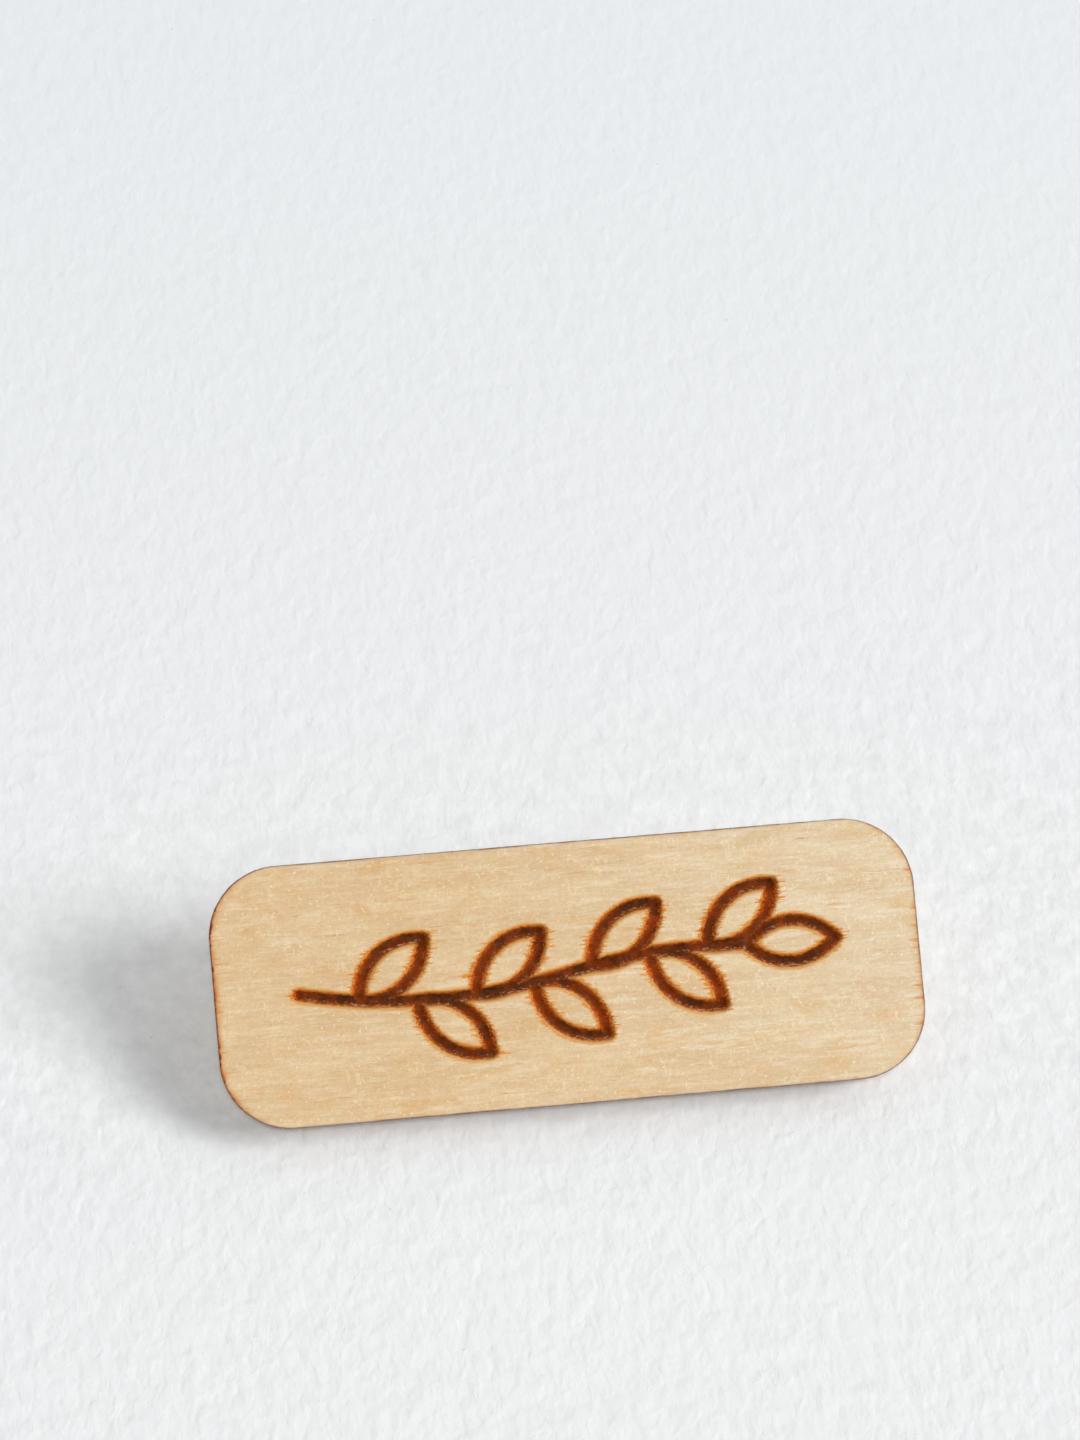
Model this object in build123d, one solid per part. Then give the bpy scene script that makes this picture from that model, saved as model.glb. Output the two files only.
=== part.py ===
from build123d import *
import os
from math import copysign, cos, radians, sin, sqrt

# Small laser-cut plywood badge with a glued-on bar pin, in millimetres.
# Frame: the face looks along -Y, +Z runs up the short side and +X along the long side, as seen from
# the front. The origin is on the needle's axis, at the middle of the needle's plain stretch.

# Board
board_length = 40.0
board_width = 14.8
corner_radius = 4.0
veneer_thickness = 0.95
glue_line_thickness = 0.075

# Burnt sprig in the face
stroke_width = 1.05
burn_depth = 0.45
sprig_end_margin = 4.8  # from the board's ends to the ends of the sprig's centre lines
stem_wave = 0.85  # height of the stem's S above and below the middle
leaf_count = 7
leaf_length = 5.0
leaf_bulge = 1.15  # from a leaf's middle line to each of its two arcs
leaf_angle = 40.0  # between a leaf and the board's length
first_leaf_inset = 3.3  # along the length, from the stem's foot to the first leaf
last_leaf_inset = 7.2  # along the length, from the sprig's tip to the last side leaf

# Strip and the adhesive under it
strip_width = 4.6
strip_thickness = 0.6
strip_end_margin = 1.0  # strip beyond the joint bracket and beyond the catch housing
glue_hole_diameter = 1.8
glue_hole_spacing = 9.0
adhesive_thickness = 0.15
squeeze_out = 0.7  # adhesive standing out all round the strip
squeeze_height = 0.25  # above the strip's underside, against its edge
squeeze_slope = 0.35  # width of the sloping outer part of the bead
plug_dome = 0.2  # adhesive plug above the strip
plug_clearance = 0.01

# Needle
needle_diameter = 0.7
plain_stretch = 18.4
taper_length = 3.8
tip_diameter = 0.12
neck_length = 0.6
eye_diameter = 2.0
eye_thickness = 0.8
swing_clearance = 0.03  # eye round the rivet, on the radius

# Joint bracket and its rivet
bracket_sheet = 0.4
bracket_gap_clearance = 0.05  # each side of the eye
bracket_top_above_axis = 1.2
bracket_corner = 0.8
back_web_above_axis = 0.6
eye_to_web = 0.2
rivet_diameter = 0.9
rivet_head_diameter = 1.6
rivet_head_height = 0.3
rivet_head_round = 0.27
rivet_ear_clearance = 0.01

# Safety catch
housing_diameter = 3.8
housing_wall = 0.4
housing_width = 2.2
housing_mouth_half_angle = 70.0
housing_from_stretch = 0.3  # along the needle, from its plain stretch to the housing
lip_thickness = 0.3
lip_overlap = 0.25  # of the lip over the rotor's rim
foot_width = 1.7
foot_rise = 0.3
rotor_clearance = 0.05  # on the radius and at each end
rotor_bore = 1.4
rotor_slot = 1.1
tab_angle = 45.0
tab_thickness = 0.6
tab_reach = 2.6
tab_bead_diameter = 0.8

# Stakes that hold the bracket and the housing to the strip
stake_diameter = 1.0
stake_clearance = 0.02

# Levels along Y, from the needle's axis towards the board and its face
strip_top = -housing_diameter / 2
strip_back = strip_top - strip_thickness
board_back = strip_back - adhesive_thickness
core_back = board_back - veneer_thickness - glue_line_thickness
face_back = core_back - veneer_thickness - glue_line_thickness
board_front = face_back - veneer_thickness

# Places along X
bracket_gap = eye_thickness + 2 * bracket_gap_clearance
eye_radius = eye_diameter / 2
needle_start = -plain_stretch / 2
hinge_x = needle_start - neck_length - eye_radius
bracket_outer_x = hinge_x - eye_radius - eye_to_web - bracket_sheet
bracket_inner_x = hinge_x + eye_radius + eye_to_web
housing_start = plain_stretch / 2 + housing_from_stretch
housing_end = housing_start + housing_width
housing_x = (housing_start + housing_end) / 2
strip_start = bracket_outer_x - strip_end_margin
strip_end = housing_end + strip_end_margin
strip_x = (strip_start + strip_end) / 2
glue_hole_places = (strip_x - glue_hole_spacing / 2, strip_x + glue_hole_spacing / 2)
bracket_stake_x = (bracket_outer_x + bracket_sheet + bracket_inner_x) / 2

# Turning parts of the catch
housing_radius = housing_diameter / 2
housing_bore_radius = housing_radius - housing_wall
rotor_radius = housing_bore_radius - rotor_clearance
rotor_length = housing_width - 2 * (lip_thickness + rotor_clearance)
lip_bore_radius = rotor_radius - lip_overlap

os.makedirs("parts", exist_ok=True)


def slab(outline, front, back):
    """A flat piece with its outline in X and Z, from front to back along Y."""
    return extrude(Plane.XZ.offset(-front) * outline, front - back)


def along_x(outline, start, end):
    """A prism with its outline in Y and Z, from start to end along X."""
    return extrude(Plane.YZ.offset(start) * outline, end - start)


def across_z(outline, half_width):
    """A prism with its outline in X and Y, the same to both sides of the middle."""
    return extrude(Plane.XY * outline, half_width, both=True)


def post(x, radius, front, back):
    """A round post along Y at the board's middle height."""
    return slab(Pos(x, 0) * Circle(radius), front, back)


# Board


def board_outline():
    return RectangleRounded(board_length, board_width, corner_radius)


def stem_height(x):
    """Height of the stem's centre line, an S of two equal arcs that meet at the board's middle."""
    half_chord = (board_length / 2 - sprig_end_margin) / 2
    arc_radius = (half_chord**2 + stem_wave**2) / (2 * stem_wave)
    rise = sqrt(arc_radius**2 - (abs(x) - half_chord) ** 2) - (arc_radius - stem_wave)
    return copysign(rise, x)


def stem_point(x):
    return (x, stem_height(x))


def stem_arc(end):
    """The stretch of the stem between the board's middle and end."""
    return ThreePointArc(stem_point(0), stem_point(end / 2), stem_point(end))


def leaf(root, angle):
    """An almond outline of two arcs, drawn as one stroke; its root is on the stem."""
    along = (cos(radians(angle)), sin(radians(angle)))
    tip = (root[0] + leaf_length * along[0], root[1] + leaf_length * along[1])
    middle = ((root[0] + tip[0]) / 2, (root[1] + tip[1]) / 2)
    arcs = []
    for bulge in (leaf_bulge, -leaf_bulge):
        crown = (middle[0] - bulge * along[1], middle[1] + bulge * along[0])
        arcs.append(ThreePointArc(root, crown, tip))
    almond = make_face(arcs)
    inside = offset(almond, -stroke_width / 2, kind=Kind.INTERSECTION)
    return offset(almond, stroke_width / 2) - inside


def sprig():
    """A stem in a shallow S, leaves to alternate sides and one leaf that goes on from its tip."""
    foot = sprig_end_margin - board_length / 2
    stem_tip = board_length / 2 - sprig_end_margin - leaf_length
    first = foot + first_leaf_inset
    step = (stem_tip + leaf_length - last_leaf_inset - first) / (leaf_count - 1)
    strokes = Sketch() + [SlotArc(stem_arc(end), stroke_width) for end in (foot, stem_tip)]
    for n in range(leaf_count):
        side = 1 if n % 2 == 0 else -1
        strokes += leaf(stem_point(first + step * n), side * leaf_angle)
    return strokes + leaf(stem_point(stem_tip), 0)


def face_veneer():
    veneer = slab(board_outline(), board_front, face_back)
    return veneer - slab(sprig(), board_front, board_front + burn_depth)


def plywood():
    """The three veneers and the two glue lines between them, from the face to the back."""
    core_front = face_back + glue_line_thickness
    back_front = core_back + glue_line_thickness
    return {
        "face_veneer": face_veneer(),
        "front_glue_line": slab(board_outline(), face_back, core_front),
        "core_veneer": slab(board_outline(), core_front, core_back),
        "rear_glue_line": slab(board_outline(), core_back, back_front),
        "back_veneer": slab(board_outline(), back_front, board_back),
    }


# Strip and adhesive


def strip_outline(grow=0.0):
    length = strip_end - strip_start + 2 * grow
    return Pos(strip_x, 0) * SlotOverall(length, strip_width + 2 * grow)


def pin_strip():
    strip = slab(strip_outline(), strip_back, strip_top)
    for x in glue_hole_places:
        strip -= post(x, glue_hole_diameter / 2, strip_back, strip_top)
    for x in (bracket_stake_x, housing_x):
        strip -= post(x, stake_diameter / 2 + stake_clearance, strip_back, strip_top)
    return strip


def adhesive_bed():
    """A film under the strip, its squeeze-out round the edge and a plug through each glue hole."""
    bead_top = strip_back + squeeze_height
    bed = slab(strip_outline(squeeze_out), board_back, bead_top)
    rim = bed.faces().sort_by(Axis.Y)[-1].outer_wire().edges()
    bed = chamfer(rim, length=squeeze_height, length2=squeeze_slope)
    bed -= slab(strip_outline(), strip_back, bead_top)
    for x in glue_hole_places:
        radius = glue_hole_diameter / 2 - plug_clearance
        plug = post(x, radius, strip_back, strip_top + plug_dome)
        bed += fillet(plug.edges().group_by(Axis.Y)[-1], plug_dome)
    return bed


def stake(x):
    return post(x, stake_diameter / 2, strip_back, strip_top)


# Joint bracket, rivet and needle


def joint_bracket():
    """A folded box joint: a base on the strip, two ears and a web that closes its outer end."""
    width = bracket_inner_x - bracket_outer_x
    height = bracket_top_above_axis - strip_top
    middle = ((bracket_inner_x + bracket_outer_x) / 2, (bracket_top_above_axis + strip_top) / 2)
    side = Pos(*middle) * Rectangle(width, height)
    side = fillet(side.vertices().group_by(Axis.Y)[-1], bracket_corner)
    block = across_z(side, bracket_gap / 2 + bracket_sheet)
    room_start = bracket_outer_x + bracket_sheet
    floor = strip_top + bracket_sheet
    room_size = (bracket_inner_x - room_start, bracket_top_above_axis - floor)
    room = Pos(room_start, floor) * Rectangle(*room_size, align=(Align.MIN, Align.MIN))
    block -= across_z(room, bracket_gap / 2)
    above_web = Pos(bracket_outer_x, back_web_above_axis) * Rectangle(
        width, bracket_top_above_axis, align=(Align.MIN, Align.MIN)
    )
    block -= across_z(above_web, bracket_gap / 2)
    hole = Pos(hinge_x, 0) * Circle(rivet_diameter / 2 + rivet_ear_clearance)
    block -= across_z(hole, bracket_gap / 2 + bracket_sheet)
    return block + stake(bracket_stake_x)


def hinge_rivet():
    """A shank through both ears with a domed head on each side."""
    ear_face = bracket_gap / 2 + bracket_sheet
    rivet = across_z(Pos(hinge_x, 0) * Circle(rivet_diameter / 2), ear_face)
    for side in (1, -1):
        head = extrude(
            Pos(hinge_x, 0, side * ear_face) * Circle(rivet_head_diameter / 2),
            side * rivet_head_height,
        )
        rim = head.edges().group_by(Axis.Z)[-1 if side > 0 else 0]
        rivet += fillet(rim, rivet_head_round)
    return rivet


def needle():
    """A wire with a flat eye round the rivet, a short neck and a tapered point."""
    eye = across_z(Pos(hinge_x, 0) * Circle(eye_radius), eye_thickness / 2)
    neck_start = hinge_x + (eye_radius + rivet_diameter / 2) / 2  # inside the eye's ring
    point_start = plain_stretch / 2
    point_end = point_start + taper_length
    half_profile = Polyline(
        (neck_start, 0),
        (neck_start, eye_thickness / 2),
        (needle_start, needle_diameter / 2),
        (point_start, needle_diameter / 2),
        (point_end, tip_diameter / 2),
    )
    tip = RadiusArc((point_end, tip_diameter / 2), (point_end + tip_diameter / 2, 0), tip_diameter / 2)
    axis_line = Line((point_end + tip_diameter / 2, 0), (neck_start, 0))
    wire = revolve(make_face(half_profile + tip + axis_line), Axis.X)
    hole = Pos(hinge_x, 0) * Circle(rivet_diameter / 2 + swing_clearance)
    return eye + wire - across_z(hole, eye_thickness)


# Safety catch


def sector(radius, half_angle):
    """A wedge about the +Y direction, in Y and Z, that reaches past the housing."""
    reach = 2 * radius
    corner = (reach * cos(radians(half_angle)), reach * sin(radians(half_angle)))
    return make_face(
        Polyline((0, 0), corner, (reach, corner[1]), (reach, -corner[1]), (corner[0], -corner[1]), (0, 0))
    )


def catch_housing():
    """A C-shaped barrel on a foot, with an inward lip at each end that keeps the rotor in."""
    barrel = Circle(housing_radius) - Circle(housing_bore_radius)
    lip = Circle(housing_radius) - Circle(lip_bore_radius)
    foot_middle = strip_top + foot_rise / 2
    foot = Pos(foot_middle, 0) * Rectangle(foot_rise, foot_width)
    body = along_x(barrel, housing_start, housing_end)
    body += along_x(lip, housing_start, housing_start + lip_thickness)
    body += along_x(lip, housing_end - lip_thickness, housing_end)
    body -= along_x(sector(housing_radius, housing_mouth_half_angle), housing_start, housing_end)
    body += along_x(foot, housing_start, housing_end)
    return body + stake(housing_x)


def catch_rotor():
    """A slotted barrel with a thumb tab; the slot looks along +Y when the catch is open."""
    rotor = Circle(rotor_radius) - Circle(rotor_bore / 2)
    slot = Rectangle(rotor_radius, rotor_slot, align=(Align.MIN, Align.CENTER))
    tab_root = (rotor_bore / 2 + rotor_radius) / 2
    tab_tip = tab_reach - tab_bead_diameter / 2
    tab = Pos(tab_root, 0) * Rectangle(
        tab_tip - tab_root, tab_thickness, align=(Align.MIN, Align.CENTER)
    )
    tab += Pos(tab_tip, 0) * Circle(tab_bead_diameter / 2)
    outline = rotor - slot + Rot(0, 0, tab_angle) * tab
    return along_x(outline, housing_x - rotor_length / 2, housing_x + rotor_length / 2)


pieces = plywood()
pieces["adhesive_bed"] = adhesive_bed()
pieces["pin_strip"] = pin_strip()
pieces["joint_bracket"] = joint_bracket()
pieces["hinge_rivet"] = hinge_rivet()
pieces["needle"] = needle()
pieces["catch_housing"] = catch_housing()
pieces["catch_rotor"] = catch_rotor()

for name, shape in pieces.items():
    export_step(shape, f"parts/{name}.step")
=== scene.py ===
import math

import bmesh
import bpy
import numpy as np
from mathutils import Matrix, Vector
from mathutils.geometry import tessellate_polygon


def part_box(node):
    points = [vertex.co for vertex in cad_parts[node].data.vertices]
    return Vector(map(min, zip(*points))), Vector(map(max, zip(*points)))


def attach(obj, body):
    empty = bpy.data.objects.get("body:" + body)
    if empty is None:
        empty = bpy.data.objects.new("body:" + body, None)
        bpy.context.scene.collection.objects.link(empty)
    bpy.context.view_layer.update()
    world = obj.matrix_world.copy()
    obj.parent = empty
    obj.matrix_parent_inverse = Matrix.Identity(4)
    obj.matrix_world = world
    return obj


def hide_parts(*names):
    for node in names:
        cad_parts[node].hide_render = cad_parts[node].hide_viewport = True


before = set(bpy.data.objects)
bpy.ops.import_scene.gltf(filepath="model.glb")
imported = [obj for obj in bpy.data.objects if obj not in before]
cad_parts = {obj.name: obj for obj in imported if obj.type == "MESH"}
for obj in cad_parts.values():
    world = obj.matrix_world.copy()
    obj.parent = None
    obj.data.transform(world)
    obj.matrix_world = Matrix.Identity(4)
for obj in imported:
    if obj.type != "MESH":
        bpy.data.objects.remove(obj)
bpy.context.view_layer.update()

scene = bpy.context.scene
scene.view_settings.view_transform = "Standard"
toMetres = 0.001  # everything below is worked out in millimetres


def boxMm(node):
    low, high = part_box(node)
    return np.array(low) / toMetres, np.array(high) / toMetres


# helpers for meshes


def ease(s):
    return s * s * (3 - 2 * s)


def valueNoise(x, z, seed):
    # smooth noise from 0 to 1, one bump per unit of x and z
    size = 256
    lattice = np.random.default_rng(seed).random((size, size))
    ix, iz = np.floor(x).astype(int), np.floor(z).astype(int)
    fx, fz = ease(x - ix), ease(z - iz)
    ix, iz = ix % size, iz % size
    jx, jz = (ix + 1) % size, (iz + 1) % size
    low = lattice[ix, iz] * (1 - fx) + lattice[jx, iz] * fx
    high = lattice[ix, jz] * (1 - fx) + lattice[jx, jz] * fx
    return low * (1 - fz) + high * fz


def xyz(x, y, z):
    # one row for each point; any of the three can be one number for them all
    return np.stack(np.broadcast_arrays(x, y, z), axis=1)


def quadBand(before, after):
    # quads between two closed rows of point numbers
    return np.stack([before, np.roll(before, -1), np.roll(after, -1), after], axis=1).tolist()


def addObject(name, data):
    made = bpy.data.objects.new(name, data)
    scene.collection.objects.link(made)
    return made


def addPiece(name, verts, faces, body, slot, node, material, sharpAngle=50.0):
    # takes the place of one CAD node; verts are in millimetres
    mesh = bpy.data.meshes.new(name)
    mesh.from_pydata((verts * toMetres).tolist(), [], faces)
    mesh.validate()
    build = bmesh.new()
    build.from_mesh(mesh)
    bmesh.ops.recalc_face_normals(build, faces=build.faces)
    build.to_mesh(mesh)
    build.free()
    mesh.shade_smooth()
    mesh.set_sharp_from_angle(angle=math.radians(sharpAngle))
    mesh.materials.append(material)
    piece = addObject(name, mesh)
    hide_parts(node)
    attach(piece, body)
    return piece


def addAttribute(piece, name, values):
    layer = piece.data.attributes.new(name, "FLOAT", "POINT")
    layer.data.foreach_set("value", np.asarray(values, dtype=np.float32))


# helpers for materials

drawing = {}  # holds the node tree that all of these add to


class Value:
    # a number that the shader works out at each point, with sums and products

    def __init__(self, socket):
        self.socket = socket

    def __add__(self, other):
        return calc("ADD", self, other)

    def __sub__(self, other):
        return calc("SUBTRACT", self, other)

    def __rsub__(self, other):
        return calc("SUBTRACT", other, self)

    def __mul__(self, other):
        return calc("MULTIPLY", self, other)

    def orMore(self, other):
        return calc("MAXIMUM", self, other)

    def remap(self, low, high, outLow=0.0, outHigh=1.0):
        # from one range to another, never past its ends
        inputs = {"Value": self, "From Min": low, "From Max": high, "To Min": outLow, "To Max": outHigh}
        return Value(addNode("ShaderNodeMapRange", inputs, clamp=True).outputs["Result"])


def startMaterial(name, constants):
    material = bpy.data.materials.new(name)
    material.use_nodes = True
    drawing["tree"] = material.node_tree
    shader = material.node_tree.nodes["Principled BSDF"]
    wire(shader, **constants)
    return material, shader


def feed(value, socket):
    # another node's output is linked, a number or colour is set
    value = value.socket if isinstance(value, Value) else value
    if isinstance(value, bpy.types.NodeSocket):
        drawing["tree"].links.new(value, socket)
    else:
        socket.default_value = (*value, 1.0) if socket.type == "RGBA" else value


def addNode(kind, inputs, **settings):
    # inputs maps a socket's name or number to what feeds it
    made = drawing["tree"].nodes.new(kind)
    for key, value in settings.items():
        setattr(made, key, value)
    for key, value in inputs.items():
        feed(value, made.inputs[key])
    return made


def calc(operation, a, b=0.0, clamp=False):
    made = addNode("ShaderNodeMath", {0: a, 1: b}, operation=operation, use_clamp=clamp)
    return Value(made.outputs[0])


def mmCoords(stretch=1.0):
    # object coordinates in millimetres, times one stretch for all axes or one for each
    place = addNode("ShaderNodeTexCoord", {}).outputs["Object"]
    factor = tuple(np.broadcast_to(np.divide(stretch, toMetres), 3))
    return addNode("ShaderNodeVectorMath", {0: place, 1: factor}, operation="MULTIPLY").outputs[0]


def axisMm(axis):
    return Value(addNode("ShaderNodeSeparateXYZ", {0: mmCoords()}).outputs[axis])


def noise(stretch, detail, rough, warp=0.0):
    inputs = {"Vector": mmCoords(stretch), "Scale": 1.0, "Detail": detail, "Roughness": rough}
    inputs["Distortion"] = warp
    return Value(addNode("ShaderNodeTexNoise", inputs).outputs["Fac"])


def attribute(name):
    return Value(addNode("ShaderNodeAttribute", {}, attribute_name=name).outputs["Fac"])


def grey(value):
    return addNode("ShaderNodeCombineColor", {0: value, 1: value, 2: value}).outputs[0]


def ramp(value, stops):
    made = addNode("ShaderNodeValToRGB", {"Fac": value})
    bar = made.color_ramp.elements
    while len(bar) < len(stops):
        bar.new(0.5)
    for element, (place, colour) in zip(bar, stops):
        element.position = place
        element.color = (*colour, 1.0)
    return made.outputs["Color"]


def mixColour(factor, a, b, blend="MIX"):
    made = addNode("ShaderNodeMix", {0: factor}, data_type="RGBA", blend_type=blend)
    for value, socket in zip((a, b), [s for s in made.inputs if s.type == "RGBA"]):
        feed(value, socket)
    return [s for s in made.outputs if s.type == "RGBA"][0]


def bump(height, distanceMm, below=None):
    inputs = {"Height": height, "Distance": distanceMm * toMetres, "Strength": 1.0}
    if below is not None:
        inputs["Normal"] = below
    return addNode("ShaderNodeBump", inputs).outputs["Normal"]


def wire(shader, **sockets):
    for name, value in sockets.items():
        feed(value, shader.inputs[name.replace("_", " ")])


# birch veneer: face, back and the scorch round their edges

birch = {
    "pale": (0.735, 0.565, 0.340), "plain": (0.655, 0.468, 0.258), "fleck": (0.86, 0.74, 0.50),
    "shadedLeftTint": (0.985, 0.955, 0.935), "litRightTint": (1.03, 1.095, 1.215), "tintFrom": -5.0, "tintTo": 19.0,
    "bands": (0.10, 0.75, 0.75), "streaks": (0.26, 6.0, 6.0), "fibres": (2.0, 15.0, 15.0),
    "mottles": (2.6, 2.2, 2.2), "grit": (5.5, 7.5, 7.5), "specks": (5.2, 6.0, 6.0),
    "bandShare": 0.45, "streakShare": 0.30, "mottleShare": 0.25, "lineCover": 0.62, "wiggleCover": 0.44,
    "vesselDepth": 0.8, "faceBump": 0.022, "backBump": 0.03, "backSpread": 1.6,
    "constants": {"Roughness": 0.62, "Specular IOR Level": 0.3},
}

# tones laid over the wood in turn; a patch grows between two levels of its noise
birchPatches = {
    "warm": {"colour": (0.67, 0.405, 0.165), "noise": ((0.36, 1.0, 1.0), 3.0, 0.6, 0.4),
             "levels": (0.53, 0.72), "cover": 0.68},
    "blush": {"colour": (0.72, 0.475, 0.300), "noise": ((1.1, 1.5, 1.5), 3.0, 0.6),
              "levels": (0.50, 0.68), "cover": 0.42},
    "milk": {"colour": (0.780, 0.650, 0.455), "noise": ((0.42, 2.6, 2.6), 3.0, 0.62),
             "levels": (0.52, 0.68), "cover": 0.55},
    "vessel": {"colour": (0.56, 0.26, 0.085), "noise": ((0.5, 9.5, 9.5), 1.0, 0.4),
               "levels": (0.69, 0.78), "cover": 0.36},
    "scratch": {"colour": (0.50, 0.19, 0.065), "noise": ((0.62, 5.5, 5.5), 1.0, 0.4),
                "levels": (0.755, 0.80), "cover": 0.55},
}


def ridgeLines(stretch, width, mask):
    # thin lines where a noise crosses its middle, kept only where another noise is high
    crossing = calc("ABSOLUTE", noise(stretch, 2.0, 0.5) - 0.5)
    return crossing.remap(0.0, width, 1.0, 0.0) * noise(mask, 2.0, 0.5).remap(0.46, 0.62)


def birchColour():
    # the wood's colour, the height of its grain, and where the vessels lie
    band = noise(birch["bands"], 2.0, 0.5, 0.6)
    streak = noise(birch["streaks"], 3.0, 0.6)
    fibre = noise(birch["fibres"], 3.0, 0.65)
    mottle = noise(birch["mottles"], 3.0, 0.6)
    tone = band * birch["bandShare"] + streak * birch["streakShare"] + mottle * birch["mottleShare"]
    colour = mixColour(tone.remap(0.40, 0.62), birch["plain"], birch["pale"])
    cover = {}
    for name, patch in birchPatches.items():
        cover[name] = noise(*patch["noise"]).remap(*patch["levels"], 0.0, patch["cover"])
        colour = mixColour(cover[name], colour, patch["colour"])
    line = ridgeLines((0.17, 2.6, 2.6), 0.016, (0.25, 0.9, 0.9))
    wiggle = ridgeLines((1.9, 1.3, 1.3), 0.045, (0.7, 0.9, 0.9))
    light = (line * birch["lineCover"]).orMore(wiggle * birch["wiggleCover"])
    speck = noise(birch["specks"], 1.0, 0.4).remap(0.67, 0.76, 0.0, 0.8)
    colour = mixColour(light.orMore(speck), colour, birch["fleck"])
    grit = noise(birch["grit"], 2.0, 0.6)
    shade = fibre.remap(0.25, 0.75, -0.05, 0.05) + grit.remap(0.25, 0.75, 0.93, 1.07)
    colour = mixColour(1.0, colour, grey(shade), "MULTIPLY")
    # paler and bluer towards the right end, darker and warmer at the left: painted light from the lamp on the
    # right
    along = axisMm(0).remap(birch["tintFrom"], birch["tintTo"])
    tint = mixColour(along, birch["shadedLeftTint"], birch["litRightTint"])
    colour = mixColour(1.0, colour, tint, "MULTIPLY")
    return colour, fibre * 0.5 + streak * 0.5, cover["vessel"]


edgeBurn = {
    "line": (0.14, 0.020, 0.017), "paleLine": (0.12, 0.046, 0.022), "lineWidth": 0.090, "notch": 0.08,
    "brown": (0.37, 0.080, 0.024), "brownWidth": 0.22, "amber": (0.62, 0.245, 0.058), "amberWidth": 0.38,
    "haze": (0.63, 0.37, 0.145), "hazeWidth": 0.60, "smoke": (0.60, 0.50, 0.39), "smokeWidth": 0.24,
    "tick": (0.64, 0.23, 0.052), "tickLength": 1.9, "rightEnd": 0.33, "rightLine": 0.1, "longPatch": 0.55,
    "fadeReach": 15.0,
}


def edgeScorch(colour, spread=1.0):
    # notched dark line, amber rim and short ticks along the grain
    edge = attribute("edgeDistance")
    ends = attribute("edgeAcrossGrain")
    longs = 1.0 - ends
    across = axisMm(0)
    fade = edgeBurn["fadeReach"]
    burnt = ends * across.remap(-fade, fade, 1.0, edgeBurn["rightEnd"])
    steady = edge - noise(1.6, 2.0, 0.5).remap(0.3, 0.7, -0.03, 0.05)
    cloud = noise(0.8, 3.0, 0.6).remap(0.38, 0.58, 0.50, 1.0)
    force = calc("MULTIPLY", burnt, cloud, clamp=True)
    layers = {"haze": steady.remap(0.0, edgeBurn["hazeWidth"] * spread, 0.7, 0.0),
              "amber": steady.remap(0.02, edgeBurn["amberWidth"], 1.0, 0.0),
              "brown": steady.remap(0.03, edgeBurn["brownWidth"], 1.0, 0.0)}
    for tint, factor in layers.items():
        colour = mixColour(factor * force, colour, edgeBurn[tint])
    patch = noise(0.42, 3.0, 0.6).remap(0.49, 0.62) * longs * edgeBurn["longPatch"]
    fine = noise(2.2, 2.0, 0.6).remap(0.35, 0.65, -0.06, 0.06)
    rim = (edge + fine).remap(0.05, 0.20, 1.0, 0.0)
    colour = mixColour(rim * patch, colour, edgeBurn["amber"])
    smoke = steady.remap(0.0, edgeBurn["smokeWidth"], 0.6, 0.0)
    colour = mixColour(smoke * longs, colour, edgeBurn["smoke"])
    reach = noise((0.16, 4.4, 4.4), 3.0, 0.7).remap(0.55, 0.76, 0.0, edgeBurn["tickLength"]) * ends
    tick = reach.remap(0.05, 0.30) * edge.remap(0.0, 1.0, 0.85, 0.35)
    tick = tick * (edge - reach).remap(-0.10, 0.05, 1.0, 0.0)
    colour = mixColour(tick, colour, edgeBurn["tick"])
    notch = noise((1.3, 3.4, 3.4), 2.0, 0.6).remap(0.50, 0.68, 0.0, edgeBurn["notch"])
    line = (edge - notch * burnt).remap(edgeBurn["lineWidth"] * 0.4, edgeBurn["lineWidth"] * 1.4, 1.0, 0.0)
    patchy = noise(0.35, 3.0, 0.65).remap(0.40, 0.58, 0.3, 1.0)
    line = line * burnt.orMore(patchy)
    deep = ends * across.remap(-fade, fade, 1.0, edgeBurn["rightLine"])
    return mixColour(line, colour, mixColour(deep, edgeBurn["paleLine"], edgeBurn["line"]))


char = {
    "core": (0.215, 0.029, 0.001), "floor": (0.23, 0.034, 0.001), "wall": (0.42, 0.058, 0.004),
    "rim": (0.60, 0.125, 0.012), "amber": (0.69, 0.255, 0.042), "glow": (0.73, 0.41, 0.15),
    "outwards": {"core": 0.0, "floor": 0.33, "wall": 0.46, "rim": 0.61, "amber": 0.78, "glow": 0.90},
    "glowWidth": 0.05, "black": (0.060, 0.018, 0.004), "alongDark": 0.95, "doubleDark": 0.5, "sootDark": 0.62,
    "paintedSheen": (0.25, 0.068, 0.014), "paintedSheenAmount": 0.34, "litWall": 0.10, "shadeWall": -0.015,
    "paintedGlint": (0.55, 0.40, 0.27), "fringe": 0.60, "jag": 0.11, "blot": 0.05, "rough": 0.66, "glossy": 0.36,
    "pitBump": 0.07, "doubleReach": 0.25, "fringeInside": 0.35,
}


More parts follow.
